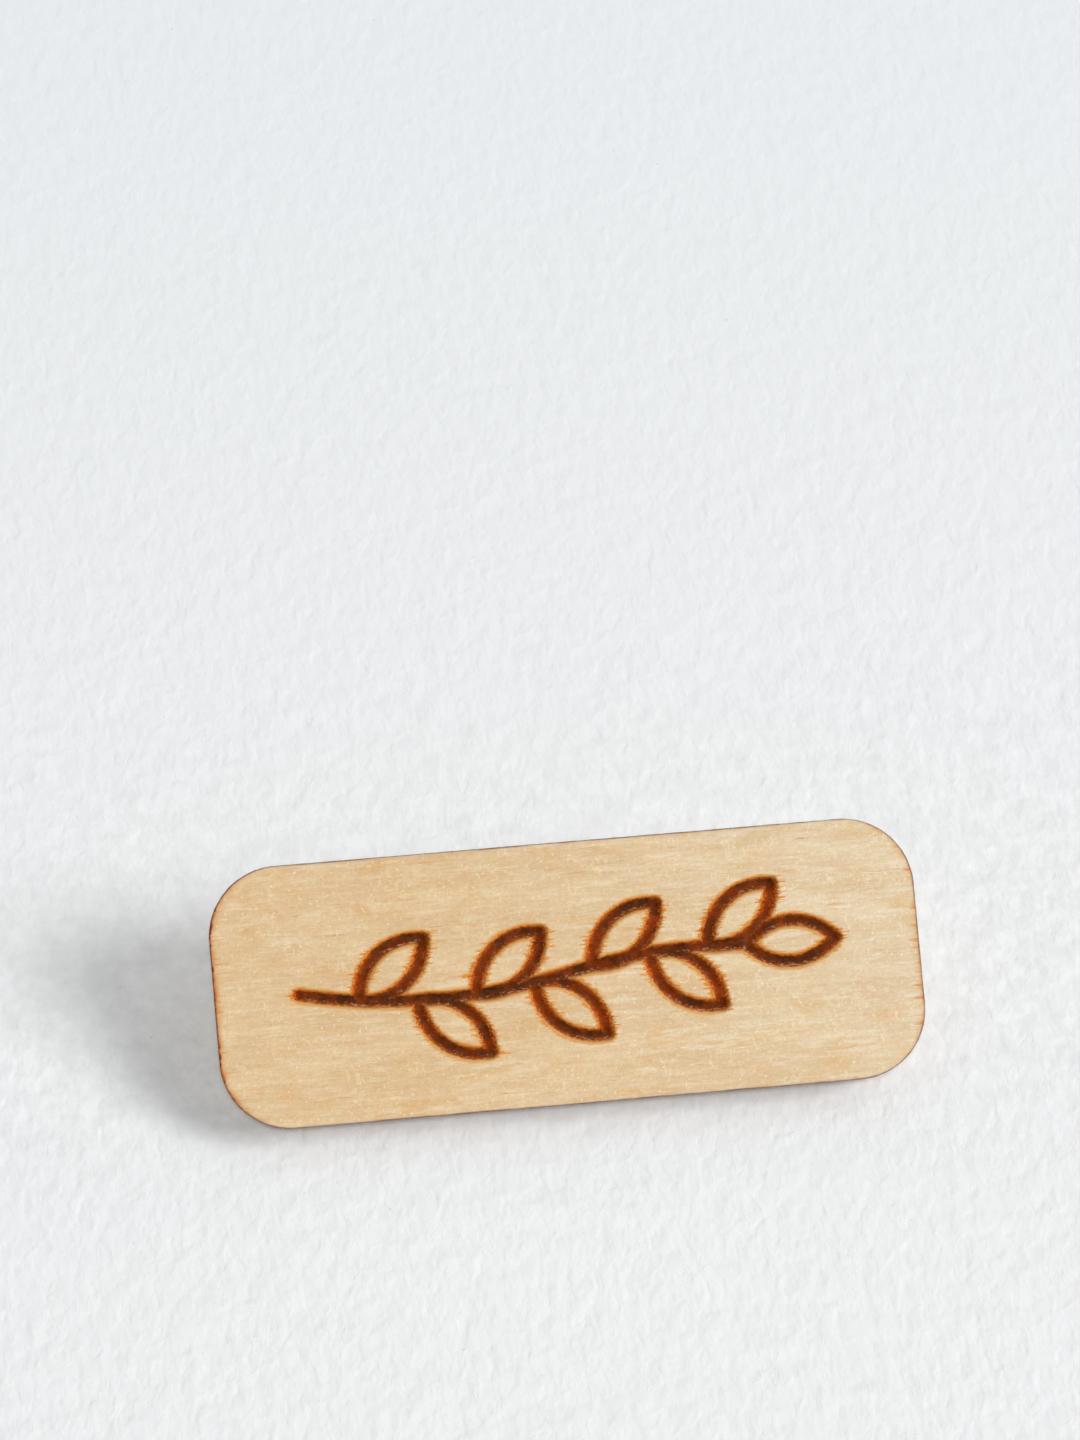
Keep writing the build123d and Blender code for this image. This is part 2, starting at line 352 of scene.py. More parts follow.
def burntColour(wood):
    # burnDistance is below zero in the groove and grows outwards from its rim, in millimetres
    burn = attribute("burnDistance")
    along = attribute("burnAlongGrain")
    lower = attribute("burnLowerWall")
    double = attribute("burnDouble")
    across = 1.15 - along
    fringe = noise((0.9, 9.0, 9.0), 2.0, 0.6).remap(0.48, 0.78, 0.0, char["fringe"]) * across
    jag = noise((2.0, 8.0, 8.0), 3.0, 0.65).remap(0.3, 0.7, -char["jag"], char["jag"])
    ragged = burn - jag * across
    outer = ragged - fringe
    blot = noise(5.0, 3.0, 0.6).remap(0.3, 0.7, -char["blot"], char["blot"])
    inner = ragged + blot - fringe * char["fringeInside"]
    lit = lower.remap(0.0, 0.9, char["shadeWall"], char["litWall"])
    stops = [(place, char[tone]) for tone, place in char["outwards"].items()]
    colour = ramp((inner + lit).remap(-0.62, -0.01), stops)
    # glossy patches in the char: lower roughness, and a painted sheen mixed into the colour
    glossAndSheen = noise((1.5, 2.1, 2.1), 3.0, 0.6).remap(0.47, 0.62) * inner.remap(-0.24, -0.34)
    colour = mixColour(glossAndSheen * char["paintedSheenAmount"], colour, char["paintedSheen"])
    # char darker along the grain, kept off the lower walls: painted shade on the upper walls; overlapping
    # strokes and soot patches darken it too
    dark = along * inner.remap(-0.16, -0.26) * (1.0 - lower * 0.8) * char["alongDark"]
    dark = dark.orMore(double * char["doubleDark"])
    cloud = noise(1.4, 2.0, 0.5).remap(0.35, 0.60, 0.40, 1.0)
    sooty = noise((0.55, 0.8, 0.8), 2.0, 0.5).remap(0.52, 0.64, 0.0, char["sootDark"])
    dark = (dark * cloud).orMore(sooty * inner.remap(-0.20, -0.32))
    colour = mixColour(dark, colour, char["black"])
    # pale specks on the lower walls, most in strokes along the grain: painted glints of light from above
    speck = noise((4.0, 7.5, 7.5), 2.0, 0.6).remap(0.54, 0.65) * inner.remap(-0.14, -0.24)
    speck = speck * lower.remap(0.05, 0.45, 0.04, 0.85) * along.remap(0.3, 0.9, 0.45, 1.0)
    colour = mixColour(speck, colour, char["paintedGlint"])
    wood = mixColour(outer.remap(-0.06, char["glowWidth"], 0.85, 0.0), wood, char["glow"])
    wood = mixColour(outer.remap(-0.12, -0.03, 0.95, 0.0), wood, char["amber"])
    inside = ragged.remap(-0.09, -0.03, 1.0, 0.0)
    return mixColour(inside, wood, colour), inside, glossAndSheen


def faceMaterial():
    material, shader = startMaterial("burntBirchFace", {"Specular IOR Level": 0.05})
    colour, grain, vessel = birchColour()
    colour, inside, glossAndSheen = burntColour(edgeScorch(colour))
    rough = inside.remap(0.0, 1.0, birch["constants"]["Roughness"], char["rough"])
    rough = rough - glossAndSheen * (char["rough"] - char["glossy"])
    pit = noise((7.0, 8.5, 8.5), 3.0, 0.6) * inside
    normal = bump(grain - vessel * birch["vesselDepth"], birch["faceBump"])
    normal = bump(pit, char["pitBump"], normal)
    wire(shader, Base_Color=colour, Roughness=rough, Normal=normal)
    return material


def backMaterial():
    material, shader = startMaterial("birchBack", birch["constants"])
    colour, grain = birchColour()[:2]
    smoke = attribute("edgeDistance").remap(0.0, 2.6, 0.55, 0.0)
    cloud = noise((0.5, 0.8, 0.8), 3.0, 0.6).remap(0.35, 0.7)
    colour = edgeScorch(mixColour(smoke * cloud, colour, edgeBurn["amber"]), birch["backSpread"])
    wire(shader, Base_Color=colour, Normal=bump(grain, birch["backBump"]))
    return material


cutEdge = {
    "veneer": ((0.40, 0.225, 0.115), (0.19, 0.088, 0.040)),
    "core": ((0.27, 0.150, 0.080), (0.12, 0.062, 0.034)), "glue": ((0.11, 0.062, 0.04), (0.06, 0.033, 0.023)),
    "scorch": (0.34, 0.12, 0.045), "bump": 0.05, "constants": {"Roughness": 0.6},
}


def cutEdgeMaterial(kind):
    # soot lies in streaks through the thickness, and cell layers show along it
    material, shader = startMaterial(kind + "CutEdge", cutEdge["constants"])
    pale, dark = cutEdge[kind]
    tone = noise((5.5, 0.25, 5.5), 3.0, 0.6) * 0.65 + noise((0.35, 8.0, 0.35), 2.0, 0.6) * 0.35
    colour = mixColour(tone.remap(0.35, 0.66), dark, pale)
    scorch = noise((0.45, 0.9, 0.45), 2.0, 0.6).remap(0.50, 0.66, 0.0, 0.5)
    burnt = mixColour(1.0, colour, cutEdge["scorch"], "MULTIPLY")
    colour = mixColour(scorch, colour, mixColour(0.5, burnt, cutEdge["scorch"]))
    wire(shader, Base_Color=colour, Normal=bump(tone, cutEdge["bump"]))
    return material


print("materials for the plywood are ready")


# the burnt sprig, as the part's source draws it

sprig = {
    "strokeWidth": 1.05, "burnDepth": 0.45, "endMargin": 4.8, "stemWave": 0.85, "leafCount": 7,
    "leafLength": 5.0, "leafBulge": 1.15, "leafAngle": 40.0, "firstLeafInset": 3.3, "lastLeafInset": 7.2,
}
board = {
    "cornerRadius": 4.0, "faceCell": 0.09, "backCell": 0.2, "edgeStep": 0.14, "kerfTaper": 0.10,
    "rim": 0.05, "rimRows": 8, "ridge": 0.03, "fineRidge": 0.02, "sootRidge": 0.02, "glueGroove": 0.012,
    "coreGroove": 0.035,
}

faceLow, faceHigh = boxMm("face_veneer")
backLow, backHigh = boxMm("back_veneer")
halfLength = (faceHigh[0] - faceLow[0]) / 2
halfWidth = (faceHigh[2] - faceLow[2]) / 2
boardFront, boardBack = faceLow[1], backHigh[1]


def stemHeight(x):
    halfChord = (halfLength - sprig["endMargin"]) / 2
    wave = sprig["stemWave"]
    radius = (halfChord**2 + wave**2) / (2 * wave)
    rise = math.sqrt(radius**2 - (abs(x) - halfChord) ** 2) - (radius - wave)
    return math.copysign(rise, x)


def arcThrough(start, crown, end):
    # centre, radius, first angle and signed sweep through three points
    (ax, az), (bx, bz), (cx, cz) = start, crown, end
    a2, b2, c2 = ax * ax + az * az, bx * bx + bz * bz, cx * cx + cz * cz
    d = 2 * (ax * (bz - cz) + bx * (cz - az) + cx * (az - bz))
    ux = (a2 * (bz - cz) + b2 * (cz - az) + c2 * (az - bz)) / d
    uz = (a2 * (cx - bx) + b2 * (ax - cx) + c2 * (bx - ax)) / d
    first = math.atan2(az - uz, ax - ux)
    last = math.atan2(cz - uz, cx - ux)
    turn = 1 if d > 0 else -1
    sweep = turn * ((turn * (last - first)) % (2 * math.pi))
    return {"centre": (ux, uz), "radius": math.hypot(ax - ux, az - uz), "first": first, "sweep": sweep,
            "ends": (start, end)}


def leafArcs(root, angle):
    along = (math.cos(angle), math.sin(angle))
    length, bulge = sprig["leafLength"], sprig["leafBulge"]
    tip = (root[0] + length * along[0], root[1] + length * along[1])
    middle = ((root[0] + tip[0]) / 2, (root[1] + tip[1]) / 2)
    arcs = []
    for side in (bulge, -bulge):
        crown = (middle[0] - side * along[1], middle[1] + side * along[0])
        arcs.append([arcThrough(root, crown, tip)])
    return arcs


def sprigStrokes():
    # a list of strokes, each a list of arcs burnt in one go
    reach = halfLength - sprig["endMargin"]
    stemTip = reach - sprig["leafLength"]

    def onStem(x):
        return (x, stemHeight(x))

    stem = [arcThrough(onStem(0), onStem(end / 2), onStem(end)) for end in (-reach, stemTip)]
    strokes = [stem]
    first = sprig["firstLeafInset"] - reach
    step = (reach - sprig["lastLeafInset"] - first) / (sprig["leafCount"] - 1)
    for n in range(sprig["leafCount"]):
        side = 1 if n % 2 == 0 else -1
        strokes += leafArcs(onStem(first + step * n), math.radians(side * sprig["leafAngle"]))
    return strokes + leafArcs(onStem(stemTip), 0.0)


def arcField(arc, x, z):
    # distance to the arc's line and the direction away from it
    ux, uz = arc["centre"]
    dx, dz = x - ux, z - uz
    reach = np.hypot(dx, dz)
    turn = 1 if arc["sweep"] > 0 else -1
    passed = (turn * (np.arctan2(dz, dx) - arc["first"])) % (2 * math.pi)
    beside = passed <= abs(arc["sweep"])
    sign = np.sign(reach - arc["radius"])
    distance = np.abs(reach - arc["radius"])
    outX, outZ = sign * dx / reach, sign * dz / reach
    (ax, az), (bx, bz) = arc["ends"]
    second = np.hypot(x - bx, z - bz) < np.hypot(x - ax, z - az)
    ex, ez = np.where(second, bx, ax), np.where(second, bz, az)
    far = np.hypot(x - ex, z - ez)
    endX, endZ = (x - ex) / np.maximum(far, 1e-6), (z - ez) / np.maximum(far, 1e-6)
    distance = np.where(beside, distance, far)
    return distance, np.where(beside, outX, endX), np.where(beside, outZ, endZ)


def sprigField(x, z):
    # nearest and second nearest stroke at each point
    best = np.full_like(x, np.inf)
    second = np.full_like(x, np.inf)
    outX, outZ = np.zeros_like(x), np.zeros_like(z)
    for stroke in sprigStrokes():
        own, ownX, ownZ = np.full_like(x, np.inf), np.zeros_like(x), np.zeros_like(z)
        for arc in stroke:
            distance, dirX, dirZ = arcField(arc, x, z)
            nearer = distance < own
            own = np.where(nearer, distance, own)
            ownX, ownZ = np.where(nearer, dirX, ownX), np.where(nearer, dirZ, ownZ)
        nearer = own < best
        second = np.where(nearer, best, np.minimum(second, own))
        best = np.where(nearer, own, best)
        outX, outZ = np.where(nearer, ownX, outX), np.where(nearer, ownZ, outZ)
    return best, second, outX, outZ


# plywood


def insideDistance(x, z):
    # how far a point lies inside the board's outline, and the way out of it
    radius = board["cornerRadius"]
    qx, qz = np.abs(x) - (halfLength - radius), np.abs(z) - (halfWidth - radius)
    cx, cz = np.maximum(qx, 0), np.maximum(qz, 0)
    corner = np.hypot(cx, cz)
    distance = radius - corner - np.minimum(np.maximum(qx, qz), 0)
    safe = np.maximum(corner, 1e-9)
    outX = np.where(corner > 0, cx / safe, (qx > qz).astype(float)) * np.sign(x)
    outZ = np.where(corner > 0, cz / safe, (qx <= qz).astype(float)) * np.sign(z)
    return distance, outX, outZ


def cutInset(x, z, y, groove=0.0):
    # how far the cut edge stands in from the outline at depth y: kerf taper, ridges and soot
    taper = board["kerfTaper"] * (y - boardFront) / (boardBack - boardFront)
    ridge = board["ridge"] * valueNoise(x * 4.2 + 40, z * 4.2 + 40, 3)
    ridge = ridge + board["fineRidge"] * valueNoise(x * 11 + 90, z * 11 + 90, 4)
    return taper + ridge * min(1.0, 0.35 + (y - boardFront) * 3) + groove


def gridSheet(cell):
    # square cells over the board, with the border points drawn onto the outline
    countX, countZ = round(2 * halfLength / cell), round(2 * halfWidth / cell)
    x, z = np.meshgrid(np.linspace(-halfLength, halfLength, countX + 1),
                       np.linspace(-halfWidth, halfWidth, countZ + 1), indexing="ij")
    middleX, middleZ = (x[:-1, :-1] + x[1:, 1:]) / 2, (z[:-1, :-1] + z[1:, 1:]) / 2
    kept = insideDistance(middleX, middleZ)[0] > 0
    around = np.zeros_like(x, dtype=int)
    for i in (0, 1):
        for j in (0, 1):
            around[i:i + countX, j:j + countZ] += kept
    used, border = around > 0, (around > 0) & (around < 4)
    number = np.full(x.shape, -1)
    number[used] = np.arange(used.sum())
    quads = np.stack([number[:-1, :-1], number[1:, :-1], number[1:, 1:], number[:-1, 1:]], axis=-1)[kept]
    distance, outX, outZ = insideDistance(x, z)
    x, z = np.where(border, x + outX * distance, x), np.where(border, z + outZ * distance, z)
    return x[used], z[used], quads, np.nonzero(border[used])[0]


def sheetPiece(name, node, slot, material, cell, outer, inner, depthAt):
    # a veneer: a fine grid outside, the cut edge in rows and a flat inner side
    x, z, quads, border = gridSheet(cell)
    border = border[np.argsort(np.arctan2(z[border], x[border]))]
    way = 1.0 if inner > outer else -1.0
    bx, bz = x[border], z[border]
    nx, nz = insideDistance(bx, bz)[1:]
    depth = way * depthAt(x, z)
    x[border], z[border] = bx - nx * board["rim"], bz - nz * board["rim"]
    if way < 0:
        inset = cutInset(bx, bz, outer)
        x[border], z[border] = x[border] - nx * inset, z[border] - nz * inset
    verts = [xyz(x, outer + depth, z)]
    count, total = len(border), len(x)
    faces = quads.tolist()
    before = border
    for y in np.linspace(outer + way * board["rim"], inner, board["rimRows"]):
        inset = cutInset(bx, bz, y)
        verts.append(xyz(bx - nx * inset, y, bz - nz * inset))
        row = np.arange(total, total + count)
        total += count
        faces += quadBand(before, row)
        before = row
    faces.append(before.tolist())
    verts = np.concatenate(verts)
    piece = addPiece(name, verts, faces, "badge", slot, node, material, sharpAngle=80.0)
    piece.data.materials.append(veneerEdge)
    slots = (np.arange(len(piece.data.polygons)) >= len(quads)).astype(np.int32)
    piece.data.polygons.foreach_set("material_index", slots)
    inside, wayX = insideDistance(verts[:, 0], verts[:, 2])[:2]
    addAttribute(piece, "edgeDistance", np.clip(inside, 0, 5))
    addAttribute(piece, "edgeAcrossGrain", np.abs(wayX) ** 1.5)
    return piece, verts


# width, waver and wall are shares of half the stroke, and the heights are in millimetres
relief = {
    "width": 0.96, "waver": 0.10, "wall": 0.78, "shallower": 0.07, "coarse": 0.075, "streaky": 0.06,
    "fine": 0.04, "crossing": 0.10, "grain": 0.010, "grainShare": 0.6,
}


def grainRelief(x, z):
    soft = valueNoise(x * 0.35 + 10, z * 6 + 10, 11)
    return relief["grain"] * (soft + relief["grainShare"] * valueNoise(x * 0.9 + 30, z * 14 + 30, 12))


def faceRelief(x, z):
    best, second = sprigField(x, z)[:2]
    waver = 1 + relief["waver"] * (valueNoise(x * 1.6 + 20, z * 5 + 20, 21) - 0.5)
    half = sprig["strokeWidth"] / 2 * relief["width"] * waver

    def groove(far):
        return ease(np.clip((1 - far / half) / relief["wall"], 0, 1))

    rough = relief["coarse"] * (valueNoise(x * 4 + 70, z * 4 + 70, 22) - 0.5)
    rough += relief["streaky"] * (valueNoise(x * 1.7 + 5, z * 8 + 5, 23) - 0.5)
    rough += relief["fine"] * (valueNoise(x * 8 + 15, z * 9 + 15, 24) - 0.5)
    depth = groove(best) * (sprig["burnDepth"] - relief["shallower"] + rough)
    return depth + groove(second) * relief["crossing"] + grainRelief(x, z)


def edgeBand(name, node, slot, material, groove):
    # an inner layer: only its cut edge shows, between flat sides
    low, high = boxMm(node)
    radius, step = board["cornerRadius"], board["edgeStep"]
    count = round((4 * (halfLength + halfWidth) - 8 * radius + 2 * math.pi * radius) / step)
    x, z = outlineAt(count)
    nx, nz = insideDistance(x, z)[1:]
    rows = max(2, round((high[1] - low[1]) / step) + 1)
    verts, faces = [], [list(range(count))]
    for index, y in enumerate(np.linspace(low[1], high[1], rows)):
        soot = groove
        if 0 < index < rows - 1:
            soot = groove + board["sootRidge"] * valueNoise(x * 2.5 + 7 * index, z * 2.5 + 60, 31)
        inset = cutInset(x, z, y, soot)
        verts.append(xyz(x - nx * inset, y, z - nz * inset))
        if index:
            row = np.arange(index * count, (index + 1) * count)
            faces += quadBand(row - count, row)
    faces.append(list(range((rows - 1) * count, rows * count)))
    return addPiece(name, np.concatenate(verts), faces, "badge", slot, node, material, sharpAngle=60.0)


def outlineAt(count):
    # even steps round the rounded rectangle, anticlockwise from the right end
    radius = board["cornerRadius"]
    straightX, straightZ, bend = 2 * (halfLength - radius), 2 * (halfWidth - radius), math.pi * radius / 2
    total = 2 * (straightX + straightZ) + 4 * bend
    sides = [(straightZ, halfLength), (straightX, halfWidth)] * 2
    x, z = np.zeros(count), np.zeros(count)
    for n in range(count):
        s = n * total / count
        for quarter, (run, reach) in enumerate(sides):
            if s < run + bend:
                break
            s -= run + bend
        if s <= run:
            point = (reach, s - run / 2)
        else:
            turn = (s - run) / radius
            point = (reach - radius + radius * math.cos(turn), run / 2 + radius * math.sin(turn))
        spin = quarter * math.pi / 2
        x[n] = point[0] * math.cos(spin) - point[1] * math.sin(spin)
        z[n] = point[0] * math.sin(spin) + point[1] * math.cos(spin)
    return x, z


veneerEdge = cutEdgeMaterial("veneer")
coreEdge = cutEdgeMaterial("core")
glueEdge = cutEdgeMaterial("glue")

face, faceVerts = sheetPiece("burntFaceVeneer", "face_veneer", "birch_face", faceMaterial(),
                             board["faceCell"], boardFront, faceHigh[1], faceRelief)
best, second, outX, outZ = sprigField(faceVerts[:, 0], faceVerts[:, 2])
halfStroke = sprig["strokeWidth"] / 2
addAttribute(face, "burnDistance", np.clip(best - halfStroke, -1, 2))
addAttribute(face, "burnAlongGrain", np.clip(np.abs(outZ) * 1.4 - 0.4, 0, 1))
addAttribute(face, "burnLowerWall", np.clip(-outZ, 0, 1) * np.clip(best / halfStroke, 0, 1))
addAttribute(face, "burnDouble", np.clip((halfStroke - second) / char["doubleReach"], 0, 1))
print("face veneer burnt:", len(face.data.polygons), "faces")

sheetPiece("backVeneer", "back_veneer", "birch_back", backMaterial(),
           board["backCell"], boardBack, backLow[1], grainRelief)
edgeBand("frontGlueLine", "front_glue_line", "ply_glue", glueEdge, board["glueGroove"])
edgeBand("coreVeneer", "core_veneer", "birch_core", coreEdge, board["coreGroove"])
edgeBand("rearGlueLine", "rear_glue_line", "ply_glue", glueEdge, board["glueGroove"])
print("plywood done")


# shapes for the fittings


def loft(rows, ring=False):
    # closed loops joined one to the next; a ring also joins its ends, others get flat ends
    count = len(rows[0])
    faces = []
    for index in range(len(rows) if ring else len(rows) - 1):
        a = np.arange(index * count, (index + 1) * count)
        faces += quadBand(a, (a + count) % (len(rows) * count))
    if not ring:
        faces += [list(range(count)), list(range((len(rows) - 1) * count, len(rows) * count))]
    return np.concatenate(rows), faces


def lathe(profile, place, count=40):
    # profile is a list of (radius, distance along the axis)
    turn = np.linspace(0, 2 * math.pi, count, endpoint=False)
    return loft([place(r * np.cos(turn), r * np.sin(turn), t) for r, t in profile])


def joined(parts):
    verts, faces, total = [], [], 0
    for partVerts, partFaces in parts:
        verts.append(partVerts)
        faces += [[total + n for n in f] for f in partFaces]
        total += len(partVerts)
    return np.concatenate(verts), faces


def loopNormals(u, v):
    du, dv = np.roll(u, -1) - np.roll(u, 1), np.roll(v, -1) - np.roll(v, 1)
    size = np.maximum(np.hypot(du, dv), 1e-9)
    return dv / size, -du / size


def roundRows(low, high, radius, steps=4):
    # (level, inset) pairs up a side whose two edges are rounded
    turns = np.linspace(0, math.pi / 2, steps)
    rows = [(low + radius * (1 - math.cos(t)), radius * (1 - math.sin(t))) for t in turns]
    return rows + [(high - (level - low), inset) for level, inset in reversed(rows)]


def plate(loops, low, high, radius, place):
    # the first loop is the outline, anticlockwise, and the others are holes, clockwise
    verts, faces, ends, total = [], [], ([], []), 0
    rows = roundRows(low, high, radius)
    for u, v in loops:
        nu, nv = loopNormals(u, v)
        lofted, sides = loft([place(u - nu * inset, v - nv * inset, level) for level, inset in rows])
        verts.append(lofted)
        faces += [[total + n for n in f] for f in sides[:-2]]
        first = total + np.arange(len(u))
        ends[0].append(first)
        ends[1].append(first + len(u) * (len(rows) - 1))
        total += len(lofted)
    verts = np.concatenate(verts)
    for end in ends:
        order = np.concatenate(end)
        outline = [[Vector(verts[n]) for n in loop] for loop in end]
        faces += [[int(order[n]) for n in face] for face in tessellate_polygon(outline)]
    return verts, faces


def roundedCorners(points, radius, steps=5):
    # an anticlockwise outline with each corner turned into an arc
    result = []
    points = [Vector(p) for p in points]
    for n, corner in enumerate(points):
        before, after = points[n - 1], points[(n + 1) % len(points)]
        a, b = (before - corner).normalized(), (after - corner).normalized()
        half = a.angle(b) / 2
        centre = corner + (a + b).normalized() * radius / math.sin(half)
        start = corner + a * radius / math.tan(half) - centre
        end = corner + b * radius / math.tan(half) - centre
        for step in range(steps + 1):
            result.append(centre + start.lerp(end, step / steps).normalized() * radius)
    return np.array(result).T


def roundedBox(low, high, half, radius, steps=5):
    # from low to high, and half to either side of the middle
    return roundedCorners([(low, -half), (high, -half), (high, half), (low, half)], radius, steps)


def holeLoop(x, radius, count=48):
    # a round hole on the strip's middle line, clockwise
    turn = -np.linspace(0, 2 * math.pi, count, endpoint=False)
    return x + radius * np.cos(turn), radius * np.sin(turn)


def onStrip(u, v, w):
    return xyz(u, w, v)


def acrossBoard(u, v, w):
    return xyz(w, u, v)


def aboutHinge(u, v, w):
    return xyz(hingeX + u, v, w)


def stadium(low, high, count=60):
    # the strip's outline, two straight sides between two half circles
    radius = (high[2] - low[2]) / 2
    turn = np.linspace(-math.pi / 2, math.pi / 2, count)
    right = ((high[0] - radius) + radius * np.cos(turn), radius * np.sin(turn))
    left = ((low[0] + radius) - radius * np.cos(turn), -radius * np.sin(turn))
    straight = np.linspace(0, 1, 2 * count)[1:-1]
    level = np.ones_like(straight)
    top = (right[0][-1] + (left[0][0] - right[0][-1]) * straight, right[1][-1] * level)
    bottom = (left[0][-1] + (right[0][0] - left[0][-1]) * straight, left[1][-1] * level)
    return np.concatenate([right, top, left, bottom], axis=1)


# metal and adhesive

plated = {
    "bright": (0.72, 0.695, 0.655), "worn": (0.52, 0.485, 0.43), "stain": (0.30, 0.25, 0.19),
    "roughLow": 0.20, "roughHigh": 0.42, "scratch": 0.006, "dent": 0.02,
}
drawn = {
    "bright": (0.74, 0.73, 0.72), "worn": (0.60, 0.585, 0.56), "stain": (0.36, 0.33, 0.29),
    "roughLow": 0.15, "roughHigh": 0.30, "scratch": 0.004, "dent": 0.004,
}


def metalMaterial(name, finish, scratchAlong):
    material, shader = startMaterial(name, {"Metallic": 1.0})
    cloud = noise(1.1, 4.0, 0.6)
    scratch = noise(scratchAlong, 3.0, 0.7)
    spot = noise(4.5, 3.0, 0.6).remap(0.60, 0.74, 0.0, 0.55)
    colour = mixColour(cloud.remap(0.38, 0.62), finish["bright"], finish["worn"])
    colour = mixColour(spot, colour, finish["stain"])
    grime = cloud * 0.5 + scratch * 0.5
    rough = grime.remap(0.36, 0.64, finish["roughLow"], finish["roughHigh"])
    normal = bump(scratch, finish["scratch"], bump(cloud, finish["dent"]))
    wire(shader, Base_Color=colour, Roughness=rough, Normal=normal)
    return material


adhesive = {
    "clear": (0.88, 0.80, 0.58), "cloudy": (0.80, 0.70, 0.46), "width": (0.46, 0.70), "height": (0.30, 0.40),
    "bump": 0.03, "under": 0.5, "dome": 0.19, "plugClearance": 0.012, "plugSink": 0.02, "slump": 2.1,
    "roundness": 0.62, "constants": {"Roughness": 0.14, "IOR": 1.49, "Transmission Weight": 0.45},
}


def adhesiveMaterial():
    material, shader = startMaterial("driedAdhesive", adhesive["constants"])
    cloud = noise(0.9, 3.0, 0.6)
    bubble = addNode("ShaderNodeTexVoronoi", {"Vector": mmCoords(3.2), "Scale": 1.0})
    pip = Value(bubble.outputs["Distance"]).remap(0.05, 0.22, 1.0, 0.0)
    colour = mixColour(cloud.remap(0.35, 0.65), adhesive["clear"], adhesive["cloudy"])
    colour = mixColour(pip * 0.35, colour, adhesive["clear"])
    wire(shader, Base_Color=colour, Normal=bump(cloud + pip, adhesive["bump"]))
    return material


# pin strip and the adhesive squeezed out round it

stripLow, stripHigh = boxMm("pin_strip")
needleHigh = boxMm("needle")[1]
housingLow, housingHigh = boxMm("catch_housing")
bracketLow, bracketHigh = boxMm("joint_bracket")
rivetLow, rivetHigh = boxMm("hinge_rivet")
rotorLow, rotorHigh = boxMm("catch_rotor")
hingeX = (rivetLow[0] + rivetHigh[0]) / 2
stripX = (stripLow[0] + stripHigh[0]) / 2
stripTop = stripHigh[1]
housingRadius = (housingHigh[2] - housingLow[2]) / 2

strip = {"edgeRadius": 0.13, "glueHole": 0.9, "glueHoleSpacing": 9.0}
platedMetal = metalMaterial("platedStrip", plated, (0.9, 9.0, 14.0))
glueHoles = [stripX - strip["glueHoleSpacing"] / 2, stripX + strip["glueHoleSpacing"] / 2]
loops = [stadium(stripLow, stripHigh)]
loops += [holeLoop(x, strip["glueHole"]) for x in glueHoles]
shape = plate(loops, stripLow[1], stripTop, strip["edgeRadius"], onStrip)
addPiece("pinStrip", *shape, "badge", "nickel_steel", "pin_strip", platedMetal)


def adhesiveShape():
    # an uneven bead from the strip's edge down to the board, and a domed plug in each hole
    x, z = stadium(stripLow, stripHigh)
    nx, nz = loopNormals(x, z)
    wave = valueNoise(x * 0.55 + 20, z * 0.55 + 20, 41) * 0.7
    wave = wave + valueNoise(x * 1.9 + 20, z * 1.9 + 20, 42) * 0.3
    lift = valueNoise(x * 0.8 + 60, z * 0.8 + 60, 43)
    (thin, thick), (flat, tall) = adhesive["width"], adhesive["height"]
    width, height = thin + (thick - thin) * wave, flat + (tall - flat) * lift
    under = np.full_like(x, -adhesive["under"])
    section = [(under, boardBack), (under, stripLow[1])]
    for t in np.linspace(0, 1, 11):
        drop = (1 - t ** adhesive["slump"]) ** adhesive["roundness"]
        section.append((width * t, boardBack + height * drop))
    across = [xyz(x + nx * d, y, z + nz * d) for d, y in section]
    parts = [loft(list(np.stack(across, axis=1)), ring=True)]
    plugRadius = strip["glueHole"] - adhesive["plugClearance"]
    profile = [(plugRadius, stripLow[1])]
    for t in np.linspace(0, math.pi / 2 - 0.08, 9):
        level = stripTop - adhesive["plugSink"] + adhesive["dome"] * math.sin(t)
        profile.append((plugRadius * math.cos(t), level))
    parts += [lathe(profile, lambda u, v, w: xyz(hole + u, w, v)) for hole in glueHoles]
    return joined(parts)


addPiece("adhesiveBead", *adhesiveShape(), "badge", "adhesive", "adhesive_bed", adhesiveMaterial(),
         sharpAngle=60.0)
print("strip and adhesive done")

# joint bracket, rivet and needle

bracket = {
    "sheet": 0.4, "bend": 0.30, "corner": 0.8, "edgeRadius": 0.06, "endTaper": 0.7, "webTop": 0.6,
    "webClearance": 0.015, "webFoot": 0.04, "webCorner": 0.12, "webOut": 0.02,
}


